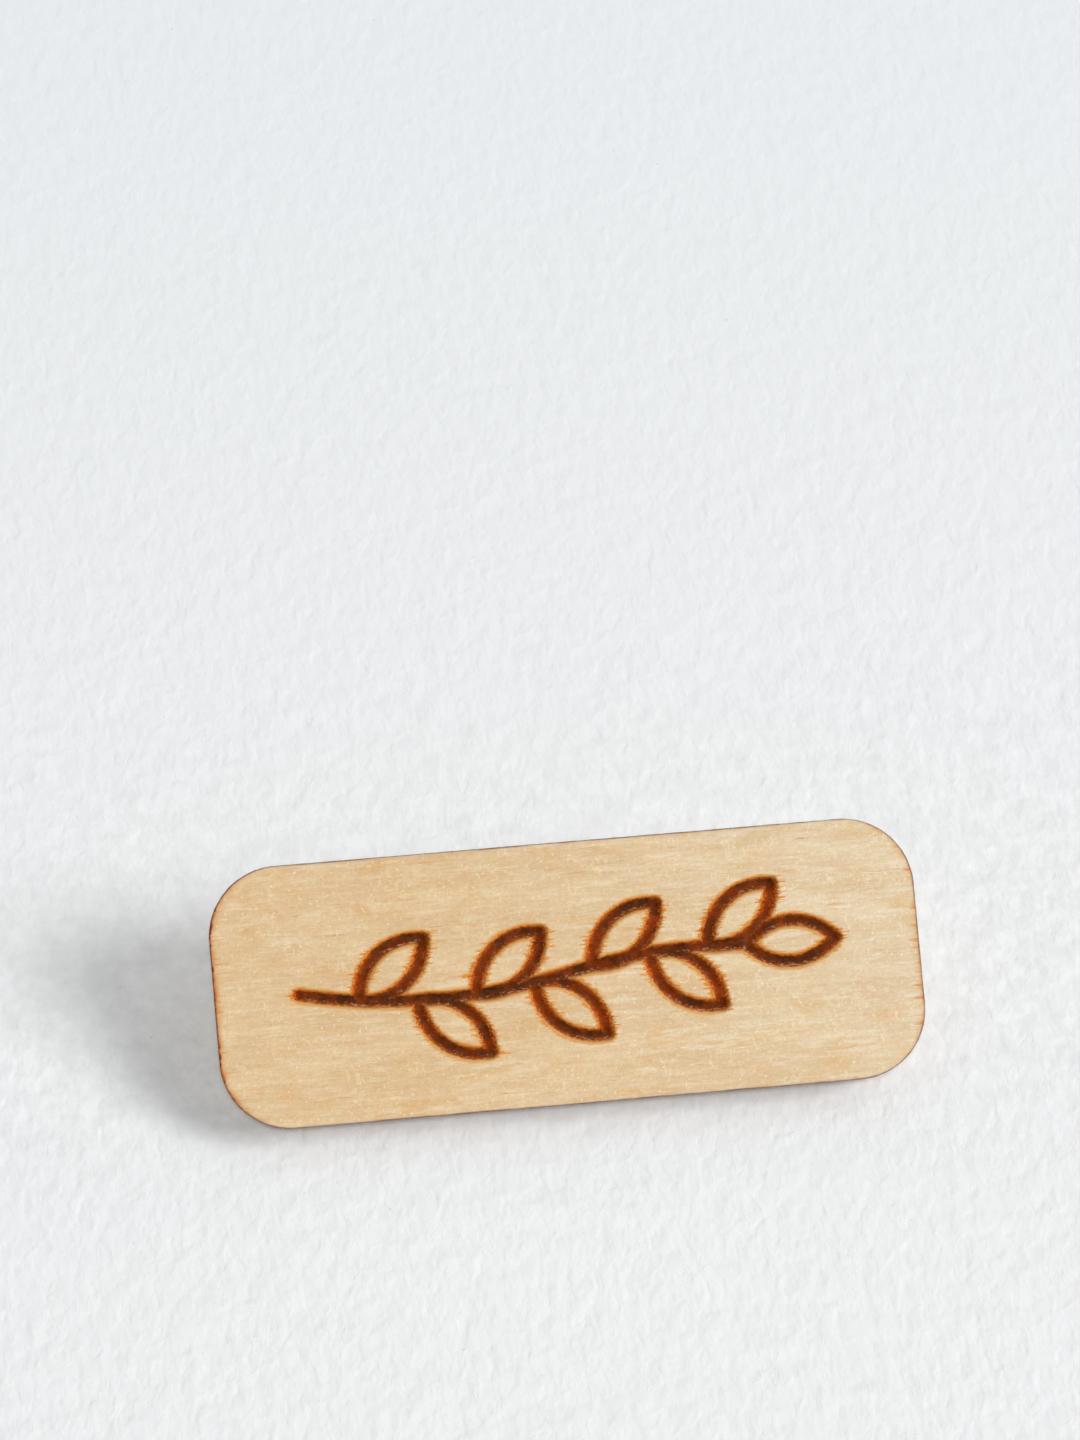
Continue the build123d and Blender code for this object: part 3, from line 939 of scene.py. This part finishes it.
def bracketShape():
    # a U of sheet, swept across its two bends, and a web that closes its outer end
    half, bend, corner, top = bracket["sheet"] / 2, bracket["bend"], bracket["corner"], bracketHigh[1]
    reach, base = bracketHigh[2] - half, stripTop + half
    path = [(-reach, y) for y in np.linspace(top, base + bend, 40)]
    path += [(-reach + bend * (1 - math.cos(t)), base + bend * (1 - math.sin(t)))
             for t in np.linspace(0, math.pi / 2, 9)[1:]]
    path += [(-z, y) for z, y in reversed(path)]
    z, y = np.array(path).T
    along = np.concatenate([[0], np.cumsum(np.hypot(np.diff(z), np.diff(y)))])
    nz, ny = -np.gradient(y, along), np.gradient(z, along)
    cornerRise = np.clip(y - (top - corner), 0, corner)
    inset = corner - np.sqrt(corner**2 - cornerRise**2)
    rows = []
    for n in range(len(path)):
        start, end = bracketLow[0] + inset[n], bracketHigh[0] - inset[n]
        thin = bracket["edgeRadius"] * bracket["endTaper"] if n in (0, len(path) - 1) else 0.0
        u, w = roundedBox(start, end, half - thin, bracket["edgeRadius"], 3)
        rows.append(xyz(u, y[n] + ny[n] * w, z[n] + nz[n] * w))
    wide = reach - half - bracket["webClearance"]
    foot, head = stripTop + bracket["webFoot"], bracket["webTop"]
    outline = roundedBox(foot, head, wide, bracket["webCorner"])
    start = bracketLow[0] - bracket["webOut"]
    web = plate([outline], start, start + bracket["sheet"], bracket["edgeRadius"], acrossBoard)
    return joined([loft(rows), web])


addPiece("jointBracket", *bracketShape(), "badge", "nickel_steel", "joint_bracket",
         metalMaterial("platedBracket", plated, (1.6, 10.0, 10.0)))

rivet = {
    "shank": 0.45, "shankIn": 0.01, "head": 0.8, "rounding": 0.03, "seat": 0.04, "ear": bracketHigh[2],
    "flatness": 0.75, "dimple": 0.3, "dimpleRim": 0.012, "dimpleWall": 0.05, "dimpleDepth": 0.09,
}


def rivetShape():
    # shank with a domed head at each side, dimpled where it was closed
    head, ear, seat, dimple, top = rivet["head"], rivet["ear"], rivet["seat"], rivet["dimple"], rivetHigh[2]
    high = [(rivet["shank"], ear - rivet["shankIn"]), (head - rivet["rounding"], ear), (head, ear + seat)]
    for t in np.linspace(0.15, math.pi / 2 - 0.12, 9):
        radius = head * math.cos(t) ** rivet["flatness"]
        if radius > dimple:
            high.append((radius, ear + seat + (top - ear - seat) * math.sin(t)))
    high += [(dimple, top - rivet["dimpleRim"]), (dimple * 0.7, top - rivet["dimpleWall"]),
             (dimple * 0.25, top - rivet["dimpleDepth"])]
    return lathe([(r, -t) for r, t in reversed(high)] + high, aboutHinge)


addPiece("hingeRivet", *rivetShape(), "badge", "nickel_steel", "hinge_rivet",
         metalMaterial("rivetMetal", plated, 3.0))

needle = {
    "eye": 1.0, "eyeHole": 0.48, "eyeHalf": 0.4, "eyeEdge": 0.13, "wire": 0.35, "neckThinner": 0.02,
    "neckStart": -10.07, "plainStart": -9.2, "pointStart": 9.2, "taper": 1.12, "tip": 0.06,
}


def needleShape():
    # a flattened eye, a short neck that swells into it and a long tapered point
    half, wire, tip = needle["eyeHalf"], needle["wire"], needle["tip"]
    r, w = roundedBox(needle["eyeHole"], needle["eye"], half, needle["eyeEdge"], 4)
    turns = np.linspace(0, 2 * math.pi, 64, endpoint=False)
    ring = [aboutHinge(r * math.cos(t), r * math.sin(t), w) for t in turns]
    neckStart, plainStart, pointStart = needle["neckStart"], needle["plainStart"], needle["pointStart"]
    tipX = needleHigh[0] - tip
    profile = []
    for s in np.linspace(0, 1, 9):
        radius = half - needle["neckThinner"] + (wire - half + needle["neckThinner"]) * ease(s)
        profile.append((radius, neckStart + (plainStart - neckStart) * s))
    profile += [(wire, x) for x in np.linspace(plainStart, pointStart, 30)[1:]]
    for s in np.linspace(0, 1, 14)[1:]:
        radius = tip + (wire - tip) * (1 - s ** needle["taper"])
        profile.append((radius, pointStart + (tipX - pointStart) * s))
    for t in np.linspace(0, math.pi / 2, 5)[1:-1]:
        profile.append((tip * math.cos(t), tipX + tip * math.sin(t)))
    return joined([loft(ring, ring=True), lathe(profile, acrossBoard, 32)])


addPiece("pinNeedle", *needleShape(), "pin_needle", "needle_steel", "needle",
         metalMaterial("drawnWire", drawn, (0.6, 12.0, 12.0)))
print("bracket, rivet and needle done")

# safety catch

catch = {
    "wall": 0.4, "lip": 0.3, "lipBore": 1.2, "mouth": 70.0, "edgeRadius": 0.07, "footRise": 0.32,
    "footHalf": 0.85, "footCorner": 0.15, "footEdge": 0.05, "rotorBore": 0.7, "rotorEdge": 0.05,
    "slotHalf": 0.55, "tabAngle": 45.0, "tabHalf": 0.3, "tabTip": 2.2, "bead": 0.4,
}


def housingShape():
    # a channel section swept round the needle's axis, open at the mouth, on a flat foot
    start, end = housingLow[0], housingHigh[0]
    outer, lipBore, lip = housingRadius, catch["lipBore"], catch["lip"]
    bore = outer - catch["wall"]
    points = [(start, lipBore), (start + lip, lipBore), (start + lip, bore), (end - lip, bore)]
    points += [(end - lip, lipBore), (end, lipBore), (end, outer), (start, outer)]
    u, r = roundedCorners(points, catch["edgeRadius"], 4)
    nu, nr = loopNormals(u, r)
    mouth = math.radians(catch["mouth"])
    rows = []
    arc = roundRows(mouth * outer, (2 * math.pi - mouth) * outer, catch["edgeRadius"])
    middle = [(s, 0.0) for s in np.linspace(arc[3][0], arc[4][0], 80)[1:-1]]
    for level, inset in arc[:4] + middle + arc[4:]:
        turn = level / outer
        ru, rr = u - nu * inset, r - nr * inset
        rows.append(xyz(ru, rr * math.cos(turn), rr * math.sin(turn)))
    foot = roundedBox(start, end, catch["footHalf"], catch["footCorner"])
    footPart = plate([foot], stripTop, stripTop + catch["footRise"], catch["footEdge"], onStrip)
    return joined([loft(rows), footPart])


def rotorOutline():
    # a ring cut by a slot, with a beaded thumb tab
    outer, bore, bead = -rotorLow[1], catch["rotorBore"], catch["bead"]
    slotOut, slotIn = math.asin(catch["slotHalf"] / outer), math.asin(catch["slotHalf"] / bore)
    tab = math.radians(catch["tabAngle"])
    lean = math.asin(catch["tabHalf"] / outer)
    neck = math.pi - math.asin(catch["tabHalf"] / bead)

    def arc(radius, start, end, count):
        return [(radius * math.cos(t), radius * math.sin(t)) for t in np.linspace(start, end, count)]

    points = arc(outer, slotOut, tab - lean, 5)
    for t in np.linspace(-neck, neck, 22):
        along, aside = catch["tabTip"] + bead * math.cos(t), bead * math.sin(t)
        u = along * math.cos(tab) - aside * math.sin(tab)
        v = along * math.sin(tab) + aside * math.cos(tab)
        points.append((u, v))
    points += arc(outer, tab + lean, 2 * math.pi - slotOut, 60)
    points += arc(bore, 2 * math.pi - slotIn, slotIn, 40)
    return np.array(points).T


addPiece("catchHousing", *housingShape(), "badge", "nickel_steel", "catch_housing",
         metalMaterial("platedHousing", plated, (1.6, 10.0, 10.0)))
shape = plate([rotorOutline()], rotorLow[0], rotorHigh[0], catch["rotorEdge"], acrossBoard)
addPiece("catchRotor", *shape, "catch", "nickel_steel", "catch_rotor",
         metalMaterial("platedRotor", plated, (2.5, 5.0, 5.0)), sharpAngle=40.0)
print("safety catch done")


# floor, light and camera

shot = {"place": (-29.13, -341.93, -15.17), "aim": (-0.34, -5.65, 14.36), "roll": -5.10, "lens": 150.0}
camera = addObject("camera", bpy.data.cameras.new("camera"))
camera.data.lens = shot["lens"]
camera.location = Vector(shot["place"]) * toMetres
view = Vector(shot["aim"]) - Vector(shot["place"])
camera.rotation_mode = "QUATERNION"
roll = Matrix.Rotation(math.radians(shot["roll"]), 3, "Z").to_quaternion()
camera.rotation_quaternion = view.to_track_quat("-Z", "Y") @ roll
camera.data.clip_start = 0.01
camera.data.clip_end = 10.0
scene.camera = camera

table = {
    "width": 110.0, "up": 115.0, "down": 60.0, "gap": 0.03, "bump": 0.10, "soft": 0.40, "lump": 0.56,
    "flake": 0.17, "crease": 0.045, "creaseShade": 0.015,
    "colour": (0.880, 0.896, 0.900), "farColour": (0.868, 0.892, 0.908), "dirt": (0.42, 0.41, 0.39),
    "constants": {"Roughness": 0.9, "Specular IOR Level": 0.1},
}


def floorMaterial():
    # plaster, smoother, bluer and with fainter mottling further up, and clear from below
    material, shader = startMaterial("plaster", table["constants"])
    soft = noise(0.5, 1.0, 0.5)
    lump = noise((1.25, 0.8, 0.8), 1.0, 0.5, 0.3)
    flake = noise((2.4, 1.5, 1.5), 2.0, 0.55, 0.8)
    crease = ridgeLines((1.3, 0.85, 0.85), 0.03, (0.6, 0.45, 0.45))
    up = axisMm(2)
    height = soft * table["soft"] + lump * table["lump"] + flake * table["flake"]
    height = height - crease * table["crease"]
    height = height * up.remap(60.0, -8.0, 0.95, 1.85)
    colour = mixColour(up.remap(5.0, 60.0), table["colour"], table["farColour"])
    mottling = noise(0.75, 4.0, 0.62).remap(0.35, 0.65, -0.5, 0.5)
    mottling = mottling * up.remap(22.0, 4.0, 0.012, 0.095) * up.remap(-10.0, -5.0, 0.3, 1.0)
    shade = mottling - crease * table["creaseShade"] + 1.0
    colour = mixColour(1.0, colour, grey(shade), "MULTIPLY")
    dirt = noise(2.4, 1.0, 0.3).remap(0.81, 0.87, 0.0, 0.35)
    colour = mixColour(dirt, colour, table["dirt"])
    wire(shader, Base_Color=colour, Normal=bump(height, table["bump"]))
    behind = addNode("ShaderNodeNewGeometry", {}).outputs["Backfacing"]
    clear = addNode("ShaderNodeBsdfTransparent", {}).outputs[0]
    choice = addNode("ShaderNodeMixShader", {0: behind, 1: shader.outputs[0], 2: clear})
    feed(choice.outputs[0], material.node_tree.nodes["Material Output"].inputs["Surface"])
    return material


# the badge leans on its lower back edge and on the catch housing
rise, reach = halfWidth - board["kerfTaper"], -boardBack
tilt = math.atan2(reach, rise) + math.asin(housingRadius / math.hypot(rise, reach))
slope = Vector((0, math.sin(tilt), math.cos(tilt)))
outward = Vector((0, -math.cos(tilt), math.sin(tilt)))
foot = Vector((0, boardBack, board["kerfTaper"] - halfWidth)) - outward * table["gap"]
corners = []
for side, along in ((-1, -table["down"]), (1, -table["down"]), (1, table["up"]), (-1, table["up"])):
    corners.append((foot + Vector((side * table["width"] / 2, 0, 0)) + slope * along) * toMetres)
floorMesh = bpy.data.meshes.new("floor")
floorMesh.from_pydata(corners, [], [(0, 1, 2, 3)])
floorMesh.materials.append(floorMaterial())
floor = addObject("floor", floorMesh)

studio = {
    "distance": 3000.0, "around": 0.235, "aroundGlossy": 0.45, "backdrop": 0.835, "tint": (0.985, 0.99, 1.0),
}
lamps = {
    "keyLight": {"from": (0.717, -0.690, 0.100), "wide": 28.0, "power": 57.5},
    "frontLight": {"from": (-0.073, -0.997, 0.0), "wide": 9.0, "power": 33.0},
    "topLight": {"from": (0.526, -0.560, 0.640), "wide": 30.0, "power": 4.6},
    "rearLight0": {"from": (0.35, 0.8, 0.55), "wide": 30.0, "power": 19.0},
    "rearLight1": {"from": (-0.75, 0.6, 0.35), "wide": 30.0, "power": 19.0},
}

notFloor = bpy.data.collections.new("rearLightBlockers")
notFloor.objects.link(floor)
for name, lamp in lamps.items():
    # a round soft light that looks wide degrees across from the object
    disk = bpy.data.lights.new(name, "AREA")
    disk.shape = "DISK"
    disk.size = 2 * studio["distance"] * toMetres * math.tan(math.radians(lamp["wide"] / 2))
    disk.energy = lamp["power"]
    light = addObject(name, disk)
    direction = Vector(lamp["from"])
    light.location = direction.normalized() * studio["distance"] * toMetres
    light.rotation_mode = "QUATERNION"
    light.rotation_quaternion = (-direction).to_track_quat("-Z", "Y")
    if name.startswith("rear"):  # the floor doesn't hold these back
        light.light_linking.blocker_collection = notFloor
        disk.cycles.max_bounces = 0
notFloor.collection_objects[0].light_linking.link_state = "EXCLUDE"
floor.visible_glossy = False

world = bpy.data.worlds.new("studio")
scene.world = world
world.use_nodes = True
drawing["tree"] = world.node_tree
ray = addNode("ShaderNodeLightPath", {})
seen = Value(ray.outputs["Is Camera Ray"]) * (studio["backdrop"] - studio["around"])
mirrored = Value(ray.outputs["Is Glossy Ray"]) * (studio["aroundGlossy"] - studio["around"])
backdrop = world.node_tree.nodes["Background"]
feed(seen + mirrored + studio["around"], backdrop.inputs["Strength"])
feed(studio["tint"], backdrop.inputs["Color"])
print("floor, lights and camera are placed")
